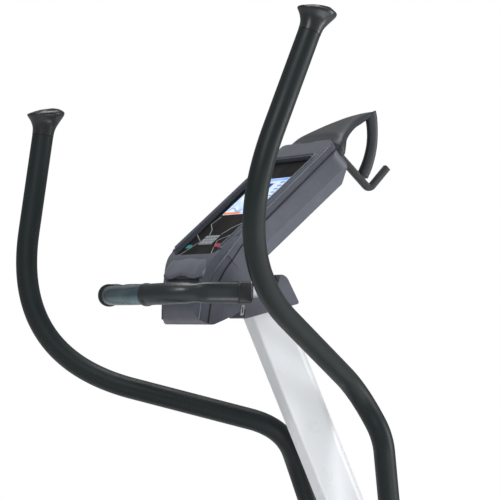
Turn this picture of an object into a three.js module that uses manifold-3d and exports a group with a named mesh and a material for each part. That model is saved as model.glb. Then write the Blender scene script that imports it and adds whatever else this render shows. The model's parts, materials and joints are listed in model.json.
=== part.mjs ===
// Elliptical trainer with moving arms, a fixed handlebar and a sloped console.
// Millimetres. +X is the way the user faces, +Y is the user's left, +Z is up.
// The floor is z = 0 and the origin lies on it, under the middle of the bounding box.
import * as THREE from 'three';
import { ConvexGeometry } from 'three/addons/geometries/ConvexGeometry.js';
import { mergeVertices } from 'three/addons/utils/BufferGeometryUtils.js';
import loadManifold from 'manifold-3d';

const manifoldLibrary = await loadManifold();
manifoldLibrary.setup();

const GAP = 0.3;
const LEFT = 1;
const RIGHT = -1;
const SIDES = [['right', RIGHT], ['left', LEFT]];
const degrees = THREE.MathUtils.degToRad;

// ---------------------------------------------------------------- driving dimensions

const HALF_LENGTH = 930;

const STABILISER = { radius: 27, z: 30, halfLength: 262, capLength: 30, capRadius: 31 };
const REAR_STABILISER_X = -HALF_LENGTH + STABILISER.capRadius;
const FRONT_STABILISER_X = 856;
const RAIL = { halfWidth: 40, bottom: 57.3, top: 100, back: -922, front: 880 };
const WHEEL = { x: 907.5, z: 38, radius: 22.5, inner: 137, outer: 163, bolt: 4 };

const MAST = { x: 428, z: 875, tilt: degrees(24.3), halfWidth: 20, halfDepth: 36 };
const MAST_TOP_N = -71.3;

const PIVOT = { x: 650, z: 660 };
const AXLE_RADIUS = 15;
const ARM_Y = 88;
const HUB = { inner: 61, outer: 114, radius: 29, bore: 20.3 };
const LINK_PIN_RADIUS = 10;
const LINK_PIN = { x: -38, z: -495 };

const GRIP_RADIUS = 19;
const GRIP_TUBE_RADIUS = 12.5;
const GRIP_BORE = 16.2;

const CRANK = { x: -480, z: 310, throw: 165, inner: 64, outer: 78, pinEnd: 81.5, axle: 12.5 };
const CRANK_ANGLE = degrees(105);
const BAR = { length: 1113, inner: 112, outer: 148, halfHeight: 22, bossInner: 82 };
const PEDAL = { inner: 82.3, outer: 212, front: -550, back: -910 };

const FLYWHEEL = { x: -745, z: 262, radius: 128, inner: 6, outer: 30, axle: 10 };
const YOKE_PIN_RADIUS = 5;
const PULLEY = { radius: 150, smallRadius: 28, inner: -30, outer: -14, belt: 3 };

const CONSOLE = { x: 240.5, z: 1381, slope: degrees(41), halfWidth: 104, wall: 3 };
const FIXED_BAR = {
  z: 1234, radius: 13, gripBore: 14.8, elbowBore: 14.8, gripRadius: 17, halfWidth: 150, crossX: 152,
};

// ---------------------------------------------------------------- materials

const paint = (color, roughness, metalness) => (
  new THREE.MeshStandardMaterial({ color, roughness, metalness })
);
const FRAME_PAINT = paint(0x2b2f33, 0.45, 0.3);
const MAST_PAINT = paint(0xcdd3d8, 0.35, 0.4);
const SLEEVE_RUBBER = paint(0x2c3838, 0.5, 0.0);
const GRIP_RUBBER = paint(0x28302f, 0.55, 0.0);
const STEEL = paint(0x9a9fa3, 0.35, 0.9);
const BLACK_PLASTIC = paint(0x1b1d1f, 0.5, 0.0);
const CONSOLE_PLASTIC = paint(0x555964, 0.45, 0.0);
const HOOD_PLASTIC = paint(0x474d54, 0.4, 0.0);
const GLOSS_PANEL = paint(0x17181b, 0.12, 0.0);
const SCREEN_GLASS = paint(0x8fa8d8, 0.1, 0.0);
const SILVER_KEY = paint(0xa8aeb2, 0.35, 0.3);
const TEAL_KEY = paint(0x1c8a92, 0.4, 0.0);
const RED_KEY = paint(0xb3202e, 0.4, 0.0);
const BOARD_GREEN = paint(0x1f5a35, 0.5, 0.0);
const BRONZE = paint(0x8a6b3c, 0.4, 0.8);
const CAST_IRON = paint(0x4a4c4f, 0.6, 0.7);
const HOUSING_PLASTIC = paint(0x33373c, 0.5, 0.0);
const BELT_RUBBER = paint(0x141414, 0.8, 0.0);

// ---------------------------------------------------------------- solids

function toManifold(geometry) {
  const plain = geometry.index ? geometry.toNonIndexed() : geometry.clone();
  plain.deleteAttribute('normal');
  plain.deleteAttribute('uv');
  const welded = mergeVertices(plain, 1e-4);
  return new manifoldLibrary.Manifold(new manifoldLibrary.Mesh({
    numProp: 3,
    vertProperties: new Float32Array(welded.attributes.position.array),
    triVerts: new Uint32Array(welded.index.array),
  }));
}

function toGeometry(manifold) {
  const mesh = manifold.getMesh();
  const geometry = new THREE.BufferGeometry();
  geometry.setAttribute('position', new THREE.BufferAttribute(mesh.vertProperties, 3));
  geometry.setIndex(new THREE.BufferAttribute(mesh.triVerts, 1));
  const faceted = geometry.toNonIndexed();
  faceted.computeVertexNormals();
  return faceted;
}

const join = (...geometries) => toGeometry(
  manifoldLibrary.Manifold.union(geometries.map(toManifold)),
);
const cut = (geometry, ...tools) => toGeometry(
  manifoldLibrary.Manifold.difference([geometry, ...tools].map(toManifold)),
);
const common = (...geometries) => toGeometry(
  manifoldLibrary.Manifold.intersection(geometries.map(toManifold)),
);

/** A box between two opposite corners. */
function box([x0, y0, z0], [x1, y1, z1]) {
  return new THREE.BoxGeometry(x1 - x0, y1 - y0, z1 - z0)
    .translate((x0 + x1) / 2, (y0 + y1) / 2, (z0 + z1) / 2);
}

/** A round bar along Y, centred on (x, z), between two values of y. */
function bar(x, z, y0, y1, radius, segments = 24) {
  return new THREE.CylinderGeometry(radius, radius, Math.abs(y1 - y0), segments)
    .translate(x, (y0 + y1) / 2, z);
}

/** A ring along Y with a round bore. */
function ring(x, z, y0, y1, outer, bore, segments = 32) {
  return cut(
    bar(x, z, y0, y1, outer, segments),
    bar(x, z, Math.min(y0, y1) - 1, Math.max(y0, y1) + 1, bore, segments),
  );
}

/** A closed outline through points [x, z, cornerRadius]; the radius may be left out. */
function outline(points) {
  const shape = new THREE.Shape();
  points.forEach(([x, z, radius = 0], i) => {
    const corner = new THREE.Vector2(x, z);
    const before = points.at(i - 1);
    const after = points[(i + 1) % points.length];
    const towards = ([px, pz]) => new THREE.Vector2(px, pz).sub(corner).setLength(radius).add(corner);
    const start = radius ? towards(before) : corner;
    if (i === 0) shape.moveTo(start.x, start.y);
    else shape.lineTo(start.x, start.y);
    if (radius) {
      const end = towards(after);
      shape.quadraticCurveTo(x, z, end.x, end.y);
    }
  });
  shape.closePath();
  return shape;
}

/** An outline in X and Y, given height from z = 0 up. */
function upright(shape, height, curveSegments) {
  return new THREE.ExtrudeGeometry(shape, { depth: height, bevelEnabled: false, curveSegments });
}

/** A side-view outline in X and Z, given thickness from y0 to y1. */
function plate(shape, y0, y1, curveSegments = 6) {
  return upright(shape, Math.abs(y1 - y0), curveSegments)
    .rotateX(Math.PI / 2)
    .translate(0, Math.max(y0, y1), 0);
}

function circle(radius) {
  const shape = new THREE.Shape();
  shape.absarc(0, 0, radius, 0, 2 * Math.PI);
  return shape;
}

function annulus(radius, bore) {
  const shape = circle(radius);
  const hole = new THREE.Path();
  hole.absarc(0, 0, bore, 0, 2 * Math.PI);
  shape.holes.push(hole);
  return shape;
}

/** A path of straight lines whose corners are rounded over the given lengths. */
function bentPath(corners) {
  const path = new THREE.CurvePath();
  const points = corners.map(([x, y, z]) => new THREE.Vector3(x, y, z));
  let from = points[0];
  for (let i = 1; i < points.length - 1; i += 1) {
    const reach = corners[i][3];
    const start = points[i - 1].clone().sub(points[i]).setLength(reach).add(points[i]);
    const end = points[i + 1].clone().sub(points[i]).setLength(reach).add(points[i]);
    path.add(new THREE.LineCurve3(from, start));
    path.add(new THREE.QuadraticBezierCurve3(start, points[i], end));
    from = end;
  }
  path.add(new THREE.LineCurve3(from, points.at(-1)));
  return path;
}

function sweep(shape, path, steps, curveSegments = 8) {
  return new THREE.ExtrudeGeometry(shape, { steps, extrudePath: path, curveSegments });
}

/** A round bar between two points. */
function rod(start, end, radius, segments = 20) {
  const from = new THREE.Vector3(...start);
  const along = new THREE.Vector3(...end).sub(from);
  const turn = new THREE.Quaternion().setFromUnitVectors(
    new THREE.Vector3(0, 1, 0),
    along.clone().normalize(),
  );
  const middle = from.addScaledVector(along, 0.5);
  return new THREE.CylinderGeometry(radius, radius, along.length(), segments)
    .applyQuaternion(turn)
    .translate(middle.x, middle.y, middle.z);
}

/** Points given for the user's left, together with their mirror images. */
const hull = (points) => new ConvexGeometry(points.flatMap(([x, y, z]) => [
  new THREE.Vector3(x, y, z),
  new THREE.Vector3(x, -y, z),
]));

// ---------------------------------------------------------------- assembly helpers

const group = new THREE.Group();

function add(name, geometry, material, parent = group) {
  const mesh = new THREE.Mesh(geometry, material);
  mesh.name = name;
  parent.add(mesh);
  return mesh;
}

// ---------------------------------------------------------------- linkage

/** Where the crank pin of one side stands. */
function crankPin(side) {
  const angle = CRANK_ANGLE + (side === LEFT ? Math.PI : 0);
  return {
    x: CRANK.x + CRANK.throw * Math.cos(angle),
    z: CRANK.z + CRANK.throw * Math.sin(angle),
  };
}

/** How far the arm of one side leans forward when its pedal bar reaches its crank pin. */
function armLean(side) {
  const pin = crankPin(side);
  const dx = pin.x - PIVOT.x;
  const dz = pin.z - PIVOT.z;
  const link = Math.hypot(LINK_PIN.x, LINK_PIN.z);
  const distance = Math.hypot(dx, dz);
  const cosine = (link ** 2 + distance ** 2 - BAR.length ** 2) / (2 * link * distance);
  const linkDirection = Math.atan2(dz, dx) + Math.acos(cosine);
  return Math.atan2(LINK_PIN.z, LINK_PIN.x) - linkDirection + (linkDirection > Math.PI ? 2 * Math.PI : 0);
}

/** The link pin of one side in the side view, once its arm leans. */
function linkPinPlace(side) {
  const lean = armLean(side);
  return {
    x: PIVOT.x + LINK_PIN.x * Math.cos(lean) + LINK_PIN.z * Math.sin(lean),
    z: PIVOT.z - LINK_PIN.x * Math.sin(lean) + LINK_PIN.z * Math.cos(lean),
  };
}

/** The slope of a pedal bar, from its link pin back to its crank pin. */
function barSlope(side) {
  const front = linkPinPlace(side);
  const back = crankPin(side);
  return Math.atan2(back.z - front.z, front.x - back.x);
}

// ---------------------------------------------------------------- base frame

function uprightPair(points) {
  const shape = outline(points);
  return [plate(shape, 34, 42), plate(shape, -42, -34)];
}

function buildFrame() {
  const tower = uprightPair([
    [-540, RAIL.top - 2], [-420, RAIL.top - 2], [-448, CRANK.z + 34, 20], [-512, CRANK.z + 34, 20],
  ]);
  const flywheelUprights = uprightPair([
    [-790, RAIL.top - 2], [-700, RAIL.top - 2], [-722, FLYWHEEL.z + 26, 14], [-768, FLYWHEEL.z + 26, 14],
  ]);
  const yokeLug = plate(outline([
    [-760, FLYWHEEL.z + 20], [-722, FLYWHEEL.z], [-614, YOKE_PIN.z - 4, 8], [-622, YOKE_PIN.z + 14, 8],
  ]), 34, 42);
  const bosses = SIDES.map(([, side]) => bar(CRANK.x, CRANK.z, 34 * side, 54 * side, 30));
  const rail = box(
    [RAIL.back, -RAIL.halfWidth, RAIL.bottom],
    [RAIL.front, RAIL.halfWidth, RAIL.top],
  );
  const frame = cut(
    join(rail, ...tower, ...flywheelUprights, yokeLug, ...bosses),
    bar(CRANK.x, CRANK.z, -60, 60, 21.3),
    bar(FLYWHEEL.x, FLYWHEEL.z, -60, 60, FLYWHEEL.axle + GAP, 16),
  );
  const yokePin = bar(YOKE_PIN.x, YOKE_PIN.z, 6, 40, YOKE_PIN_RADIUS, 12);
  add('base_frame', join(frame, yokePin), FRAME_PAINT);
}

function buildStabilisers() {
  const tube = (x) => bar(x, STABILISER.z, -STABILISER.halfLength, STABILISER.halfLength,
    STABILISER.radius, 28);
  const underFloor = box([-1000, -400, -10], [1000, 400, 0]);
  const wheelBrackets = [130, 164].flatMap((inner) => SIDES.map(([, side]) => (
    box([FRONT_STABILISER_X + 10, 0, WHEEL.z - 12], [WHEEL.x + 12, 6, WHEEL.z + 12])
      .translate(0, side > 0 ? inner : -inner - 6, 0)
  )));
  const wheelBolts = SIDES.map(([, side]) => bar(WHEEL.x, WHEEL.z, 130 * side, 170 * side, WHEEL.bolt, 12));
  add('front_stabiliser', join(tube(FRONT_STABILISER_X), ...wheelBrackets, ...wheelBolts), FRAME_PAINT);
  add('rear_stabiliser', tube(REAR_STABILISER_X), FRAME_PAINT);

  SIDES.forEach(([name, side]) => {
    const inner = STABILISER.halfLength - 24;
    const outer = STABILISER.halfLength + STABILISER.capLength;
    [['front', FRONT_STABILISER_X], ['rear', REAR_STABILISER_X]].forEach(([end, x]) => {
      const cap = cut(
        bar(x, STABILISER.z, inner * side, outer * side, STABILISER.capRadius, 28),
        bar(x, STABILISER.z, (inner - 1) * side, (STABILISER.halfLength + GAP) * side,
          STABILISER.radius + GAP, 28),
        underFloor,
      );
      add(`${end}_foot_cap_${name}`, cap, BLACK_PLASTIC);
    });
    const wheel = ring(WHEEL.x, WHEEL.z, WHEEL.inner * side, WHEEL.outer * side,
      WHEEL.radius, WHEEL.bolt + GAP, 24);
    add(`transport_wheel_${name}`, wheel, BLACK_PLASTIC);
  });
}

// ---------------------------------------------------------------- mast

/** The mast's section, rounded at the front, swept up its leaning axis and grown by some slack. */
function mastSolid(slack, from, to) {
  const d = MAST.halfDepth + slack;
  const w = MAST.halfWidth + slack;
  const section = outline([
    [-d, -w, 4], [d - 4, -w, 12], [d + 6, 0, 8], [d - 4, w, 12], [-d, w, 4],
  ]);
  return upright(section, to - from, 4)
    .translate(0, 0, from)
    .rotateY(-MAST.tilt)
    .translate(MAST.x, 0, MAST.z);
}

const mastX = (z) => MAST.x + (MAST.z - z) * Math.tan(MAST.tilt);

function buildMast() {
  const above = tilted(box([-300, -60, MAST_TOP_N], [300, 60, 400]));
  const below = box([500, -80, 0], [1000, 80, RAIL.top + 2 * GAP]);
  add('mast', cut(mastSolid(0, -900, 600), above, below), MAST_PAINT);

  const socketTop = RAIL.top + 170;
  const socket = plate(outline([
    [mastX(RAIL.top) - 62, RAIL.top + GAP, 6],
    [mastX(RAIL.top) + 64, RAIL.top + GAP, 6],
    [mastX(socketTop) + 52, socketTop, 10],
    [mastX(socketTop) - 50, socketTop - 22, 10],
  ]), -31, 31);
  add('mast_socket', cut(socket, mastSolid(GAP, -900, -500)), FRAME_PAINT);

  const cover = plate(outline([
    [224, 1190, 4], [332, 1217, 6], [306, 1265, 8], [294, 1268, 4], [284, 1232, 10], [228, 1223, 4],
  ]), -30, 30);
  add('mast_cover', cut(cover, mastSolid(GAP, 250, 500)), BLACK_PLASTIC);

  const web = plate(outline([
    [mastX(PIVOT.z + 62), PIVOT.z + 62], [mastX(PIVOT.z - 70), PIVOT.z - 70],
    [PIVOT.x + 4, PIVOT.z - 26, 10], [PIVOT.x + 4, PIVOT.z + 26, 10],
  ]), -24, 24);
  const sleeve = bar(PIVOT.x, PIVOT.z, -60, 60, 27, 28);
  const bracket = cut(
    join(web, sleeve),
    mastSolid(GAP, -400, 400),
    bar(PIVOT.x, PIVOT.z, -62, 62, AXLE_RADIUS + GAP, 24),
  );
  add('pivot_bracket', bracket, FRAME_PAINT);
  const washers = SIDES.map(([, side]) => (
    bar(PIVOT.x, PIVOT.z, (HUB.outer + GAP) * side, (HUB.outer + 8) * side, 24, 24)
  ));
  const axle = bar(PIVOT.x, PIVOT.z, -HUB.outer - 4, HUB.outer + 4, AXLE_RADIUS, 24);
  add('pivot_axle', join(axle, ...washers), STEEL);
}

// ---------------------------------------------------------------- swinging arms

// Corners of a left arm, measured from the pivot: the grip, the wide bend, the inner
// bend beside the mast and the straight tube down to the joint. The fourth number is
// the length over which a corner is rounded.
const ARM_CORNERS = [
  [-557, 283, 937],
  [-664, 291, 552, 225],
  [-261, 50, 374, 62],
  [-224, ARM_Y, 299, 28],
];
const TUBE_TILT = degrees(13.2);
const JOINT_Z = 150;
const SOCKET_DEPTH = 60;
const tubeX = (z) => ARM_CORNERS[3][0] + (ARM_CORNERS[3][2] - z) * Math.tan(TUBE_TILT);

function armPath(side, bottom) {
  const corners = [...ARM_CORNERS, [tubeX(bottom), ARM_Y, bottom]];
  return bentPath(corners.map(([x, y, z, reach]) => [x, y * side, z, reach]));
}

/** The flared end cap, with its slanted crown, on top of a grip. */
function gripCap() {
  const profile = [[0, 0], [19, 0], [21, 10], [27, 26], [34, 36], [34, 40], [24, 46], [0, 50]];
  return new THREE.LatheGeometry(profile.map(([r, z]) => new THREE.Vector2(r, z)), 20)
    .rotateX(Math.PI / 2)
    .scale(1, 0.72, 1);
}

function buildArm(name, side) {
  const arm = new THREE.Group();
  arm.position.set(PIVOT.x, 0, PIVOT.z);
  arm.rotation.y = armLean(side);
  group.add(arm);

  const tubeBottom = JOINT_Z - SOCKET_DEPTH;
  const y = (value) => value * side;
  const innerTube = sweep(circle(GRIP_TUBE_RADIUS), armPath(side, tubeBottom), 30, 6);
  add(`handlebar_tube_${name}`, innerTube, STEEL, arm);
  const sleeve = sweep(annulus(GRIP_RADIUS, GRIP_BORE), armPath(side, JOINT_Z + GAP), 28, 6);
  add(`handlebar_sleeve_${name}`, sleeve, SLEEVE_RUBBER, arm);

  const cap = add(`handlebar_cap_${name}`, gripCap(), BLACK_PLASTIC, arm);
  const [top, bend] = ARM_CORNERS;
  const upGrip = new THREE.Vector3(top[0] - bend[0], y(top[1] - bend[1]), top[2] - bend[2]).normalize();
  cap.quaternion.setFromUnitVectors(new THREE.Vector3(0, 0, 1), upGrip);
  cap.position.set(top[0], y(top[1]), top[2]).addScaledVector(upGrip, GAP);

  const tube = rod([tubeX(JOINT_Z), y(ARM_Y), JOINT_Z], [LINK_PIN.x, y(ARM_Y), LINK_PIN.z], 21, 24);
  const gusset = plate(outline([
    [tubeX(110), 110], [tubeX(-120), -120], [14, -18, 8], [14, 20, 8],
  ]), y(ARM_Y - 8), y(ARM_Y + 8));
  const swingArm = cut(
    join(tube, gusset, bar(0, 0, y(HUB.inner), y(HUB.outer), HUB.radius),
      bar(LINK_PIN.x, LINK_PIN.z, y(ARM_Y - 24), y(ARM_Y + 22), 26)),
    bar(0, 0, y(HUB.inner - 2), y(HUB.outer + 2), HUB.bore),
    bar(LINK_PIN.x, LINK_PIN.z, y(ARM_Y - 26), y(ARM_Y + 26), LINK_PIN_RADIUS + GAP, 20),
    rod([tubeX(JOINT_Z + 5), y(ARM_Y), JOINT_Z + 5],
      [tubeX(tubeBottom - GAP), y(ARM_Y), tubeBottom - GAP], GRIP_BORE, 20),
  );
  add(`swing_arm_${name}`, swingArm, FRAME_PAINT, arm);
  add(`arm_bush_${name}`, ring(0, 0, y(HUB.inner), y(HUB.outer), HUB.bore - GAP, AXLE_RADIUS + GAP, 24),
    BRONZE, arm);
}

// ---------------------------------------------------------------- pedal bars and pedals

function buildPedalBar(name, side) {
  const front = linkPinPlace(side);
  const assembly = new THREE.Group();
  assembly.position.set(front.x, 0, front.z);
  assembly.rotation.y = barSlope(side);
  group.add(assembly);

  const y = (value) => value * side;
  const beam = plate(outline([
    [-BAR.length, -BAR.halfHeight], [0, -BAR.halfHeight], [0, BAR.halfHeight], [-BAR.length, BAR.halfHeight],
  ]), y(BAR.inner), y(BAR.outer));
  const pedalBar = cut(
    join(beam,
      bar(0, 0, y(BAR.inner), y(BAR.outer), 26),
      bar(-BAR.length, 0, y(BAR.bossInner), y(BAR.outer), 26)),
    bar(0, 0, y(BAR.inner - 2), y(BAR.outer + 2), LINK_PIN_RADIUS + GAP, 20),
  );
  add(`pedal_bar_${name}`, pedalBar, FRAME_PAINT, assembly);

  const pin = join(
    bar(0, 0, y(ARM_Y - 24), y(BAR.outer + 4), LINK_PIN_RADIUS, 20),
    bar(0, 0, y(BAR.outer + GAP), y(BAR.outer + 8), 17, 20),
  );
  add(`link_pin_${name}`, pin, STEEL, assembly);

  const floor = BAR.halfHeight + GAP;
  const tray = plate(outline([
    [PEDAL.back, floor + 8, 6], [PEDAL.back + 24, floor, 6], [PEDAL.front - 40, floor, 10],
    [PEDAL.front, floor + 34, 10], [PEDAL.front, floor + 84, 16], [PEDAL.front - 60, floor + 74, 20],
    [PEDAL.back, floor + 36, 8],
  ]), y(PEDAL.inner), y(PEDAL.outer));
  const hollow = plate(outline([
    [PEDAL.back - 20, floor + 17], [PEDAL.front - 14, floor + 44, 16],
    [PEDAL.front - 14, floor + 120], [PEDAL.back - 20, floor + 120],
  ]), y(PEDAL.inner + 7), y(PEDAL.outer - 7));
  add(`pedal_${name}`, cut(tray, hollow), BLACK_PLASTIC, assembly);
}

// ---------------------------------------------------------------- crank and drive

const YOKE_PIN = {
  x: FLYWHEEL.x + 155 * Math.cos(degrees(40)),
  z: FLYWHEEL.z + 155 * Math.sin(degrees(40)),
};

function buildCranks() {
  add('crank_axle', bar(CRANK.x, CRANK.z, -CRANK.outer, CRANK.outer, CRANK.axle, 24), STEEL);
  SIDES.forEach(([name, side]) => {
    const y = (value) => value * side;
    const bearing = ring(CRANK.x, CRANK.z, y(36), y(54), 21, CRANK.axle + GAP, 24);
    add(`crank_bearing_${name}`, bearing, STEEL);

    const pin = crankPin(side);
    const [hub, end] = [[CRANK.x, CRANK.z, 25], [pin.x, pin.z, 19]].map(([x, z, radius]) => (
      bar(x, z, y(CRANK.inner), y(CRANK.outer), radius)
    ));
    const across = CRANK_ANGLE + Math.PI / 2;
    const corner = (place, reach) => [
      place.x + reach * Math.cos(across), place.z + reach * Math.sin(across),
    ];
    const web = plate(outline([
      corner(CRANK, 22), corner(pin, 17), corner(pin, -17), corner(CRANK, -22),
    ]), y(CRANK.inner), y(CRANK.outer));
    const arm = cut(
      join(web, hub, end, bar(pin.x, pin.z, y(CRANK.inner), y(CRANK.pinEnd), 13)),
      bar(CRANK.x, CRANK.z, y(CRANK.inner - 2), y(CRANK.outer + 2), CRANK.axle + GAP),
    );
    add(`crank_arm_${name}`, arm, STEEL);
  });
}

/** The outline of a belt run around two pulleys, at some distance from their faces. */
function beltOutline(distance, PathType) {
  const dx = CRANK.x - FLYWHEEL.x;
  const dz = CRANK.z - FLYWHEEL.z;
  const big = PULLEY.radius + distance;
  const small = PULLEY.smallRadius + distance;
  const direction = Math.atan2(dz, dx);
  const wrap = Math.acos((big - small) / Math.hypot(dx, dz));
  const path = new PathType();
  path.absarc(CRANK.x, CRANK.z, big, direction + Math.PI + wrap, direction + 3 * Math.PI - wrap, false);
  path.absarc(FLYWHEEL.x, FLYWHEEL.z, small, direction + Math.PI - wrap, direction + Math.PI + wrap, false);
  path.closePath();
  return path;
}

function buildDrive() {
  const spokeGaps = [0, 1, 2, 3, 4].map((i) => {
    const angle = i * degrees(72);
    return bar(CRANK.x + 88 * Math.cos(angle), CRANK.z + 88 * Math.sin(angle), -40, 0, 32, 16);
  });
  const pulley = cut(
    join(
      bar(CRANK.x, CRANK.z, PULLEY.inner, PULLEY.outer, PULLEY.radius, 48),
      bar(CRANK.x, CRANK.z, -33, 33, 24),
    ),
    bar(CRANK.x, CRANK.z, -40, 40, CRANK.axle + GAP),
    ...spokeGaps,
  );
  add('drive_pulley', pulley, BLACK_PLASTIC);

  const beltShape = beltOutline(GAP + PULLEY.belt, THREE.Shape);
  beltShape.holes.push(beltOutline(GAP, THREE.Path));
  add('drive_belt', plate(beltShape, PULLEY.inner + 1, PULLEY.outer - 1, 20), BELT_RUBBER);

  const wheel = cut(
    join(
      bar(FLYWHEEL.x, FLYWHEEL.z, FLYWHEEL.inner, FLYWHEEL.outer, FLYWHEEL.radius, 40),
      bar(FLYWHEEL.x, FLYWHEEL.z, -32, 33, 18),
      bar(FLYWHEEL.x, FLYWHEEL.z, PULLEY.inner, PULLEY.outer, PULLEY.smallRadius, 32),
    ),
    bar(FLYWHEEL.x, FLYWHEEL.z, -40, 40, FLYWHEEL.axle + GAP, 16),
  );
  add('flywheel', wheel, CAST_IRON);
  add('flywheel_axle', bar(FLYWHEEL.x, FLYWHEEL.z, -46, 46, FLYWHEEL.axle, 16), STEEL);

  const inner = FLYWHEEL.radius + 4;
  const outer = FLYWHEEL.radius + 20;
  const arc = new THREE.Shape();
  arc.absarc(FLYWHEEL.x, FLYWHEEL.z, outer, degrees(40), degrees(120), false);
  arc.absarc(FLYWHEEL.x, FLYWHEEL.z, inner, degrees(120), degrees(40), true);
  const yoke = cut(
    join(plate(arc, 8, 30, 12), bar(YOKE_PIN.x, YOKE_PIN.z, 8, 30, 13)),
    bar(YOKE_PIN.x, YOKE_PIN.z, 0, 40, YOKE_PIN_RADIUS + GAP, 12),
  );
  add('magnet_yoke', yoke, STEEL);
}

/** The side view of the drive housing, inset by a wall thickness. */
function housingOutline(inset) {
  const shape = new THREE.Shape();
  const bottom = RAIL.top + 1 + inset;
  shape.moveTo(-896 + inset, bottom);
  shape.lineTo(-318 - inset, bottom);
  shape.absarc(CRANK.x, CRANK.z + 2, 176 - inset, degrees(-30), degrees(96), false);
  shape.absarc(-748, 278, 164 - inset, degrees(96), degrees(195), false);
  shape.closePath();
  return shape;
}

function buildHousing() {
  const footSlots = [[-545, -415], [-795, -695]];
  SIDES.forEach(([name, side]) => {
    const slots = footSlots.map(([x0, x1]) => (
      box([x0, -43, RAIL.top - 5], [x1, 43, RAIL.top + 8])
    ));
    const shell = cut(
      plate(housingOutline(0), GAP / 2 * side, 58 * side, 14),
      plate(housingOutline(3), -10 * side, 55 * side, 14),
      bar(CRANK.x, CRANK.z, 40 * side, 70 * side, 17),
      ...slots,
    );
    add(`drive_housing_${name}`, shell, HOUSING_PLASTIC);
  });
}

// ---------------------------------------------------------------- console

/** Moves a solid drawn along the console's slope (x up the slope, z out of its face) into place. */
function tilted(geometry) {
  return geometry.rotateY(-CONSOLE.slope).translate(CONSOLE.x, 0, CONSOLE.z);
}

/** A block on the console's face, given its middle and size up the slope and across it. */
function faceBlock(s, y, length, width, n0, n1, corner = 2) {
  const [a, b] = [length / 2, width / 2];
  const shape = outline([[-a, -b, corner], [a, -b, corner], [a, b, corner], [-a, b, corner]]);
  return tilted(upright(shape, n1 - n0, 2).translate(s, y, n0));
}

/** The outside of the console, drawn in by a wall thickness. */
function consoleBody(inset) {
  const w = CONSOLE.halfWidth - inset;
  const across = outline([
    [-w, -12], [-w, -38], [-w + 16, -62 + inset], [w - 16, -62 + inset], [w, -38], [w, -12],
    [w - 9, 10 - inset, 5], [-w + 9, 10 - inset, 5],
  ]);
  const upper = upright(across, 360, 3)
    .rotateX(Math.PI / 2)
    .rotateZ(Math.PI / 2)
    .translate(-170, 0, 0);
  const upperSide = plate(outline([
    [-118, 12 - inset], [-118, -66], [132 - inset, -66], [163 - inset, -38], [172 - inset, 12 - inset],
  ]), -w, w);
  const corners = outline([
    [-160, -w], [172 - inset, -w, 30], [172 - inset, w, 30], [-160, w],
  ]);
  const cornerBlock = upright(corners, 200, 5).translate(0, 0, -120);
  const head = tilted(common(upper, upperSide, cornerBlock));

  const chinSide = plate(outline([
    [116 + inset, 1189 + inset, 5], [131 + inset, 1179 + inset, 6], [199 - inset, 1212 + inset, 8],
    [200 - inset, 1292, 6], [212, 1344], [165, 1326 - inset], [131 + inset, 1292, 14],
    [122 + inset, 1260, 10], [113 + inset, 1236, 10], [110 + inset, 1206, 8],
  ]), -w, w);
  const plan = outline([
    [108 + inset, -w, 74], [230, -w], [230, w], [108 + inset, w, 74],
  ]);
  const planBlock = upright(plan, 200, 8).translate(0, 0, 1160);
  return join(head, common(chinSide, planBlock));
}

// The seam between the two console shells, from the top end down to the chin.
const SEAM = [[420, 1532], [187, 1322], [147, 1266], [131, 1226], [124, 1160]];

/** Everything on one side of the seam, kept a little way back from it. */
function seamSide(towardsUser) {
  const slack = (towardsUser ? -GAP : GAP) / 2;
  const line = SEAM.map(([x, z]) => [x + slack, z]);
  const far = towardsUser ? [[-40, 1160], [-40, 1620], [420, 1620]] : [[700, 1160], [700, 1532]];
  return plate(outline([...line, ...far]), -160, 160);
}

/** The hood that runs from the console's top edge out to a point, with the rib under it. */
function hood() {
  const beak = hull([
    [344, 92, 1478], [386, 90, 1501], [411, 78, 1521], [448, 50, 1543], [505, 4, 1566],
    [376, 90, 1502], [372, 92, 1480], [434, 54, 1515], [490, 6, 1538], [362, 92, 1478],
  ]);
  const rib = plate(outline([
    [477, 1546], [504, 1563], [505, 1514, 16], [499, 1479, 12], [487, 1452], [471, 1452],
    [481, 1497, 12], [487, 1537],
  ]), -9, 9);
  return join(beak, rib);
}

function buildConsoleShells() {
  const cavity = common(consoleBody(CONSOLE.wall), tilted(box([-400, -200, -300], [400, 200, -4])));
  const body = consoleBody(0);
  const panelPocket = faceBlock(0, 0, 256, 170, 0, 40, 14);
  const barHoles = bar(FIXED_BAR.crossX, FIXED_BAR.z, -130, 130, FIXED_BAR.elbowBore, 20);

  const front = cut(common(body, seamSide(true)), cavity, panelPocket, barHoles);
  add('console_front_shell', front, CONSOLE_PLASTIC);
  add('console_hood', cut(hood(), tilted(box([-400, -200, -300], [172 + GAP, 200, 300]))), HOOD_PLASTIC);

  const posts = [-40, 70].flatMap((s) => [-48, 48].map((y) => (
    tilted(new THREE.CylinderGeometry(4, 4, 31.7, 10).rotateX(Math.PI / 2).translate(s, y, -46.15))
  )));
  const clampHole = box(
    [190, -20 - GAP, FIXED_BAR.z - 20 - GAP],
    [240, 20 + GAP, FIXED_BAR.z + 20 + GAP],
  );
  const rear = cut(common(body, seamSide(false)), cavity, barHoles, clampHole);
  add('console_rear_shell', join(rear, ...posts), CONSOLE_PLASTIC);
  add('circuit_board', tilted(box([-56, -60, -30], [88, 60, -28.4])), BOARD_GREEN);

  const bracket = cut(
    tilted(box([-110, -24, -71], [-20, 24, -62 - GAP])),
    box([0, -60, 1100], [200 + GAP, 60, 1500]),
  );
  add('console_bracket', bracket, FRAME_PAINT);
}

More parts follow.
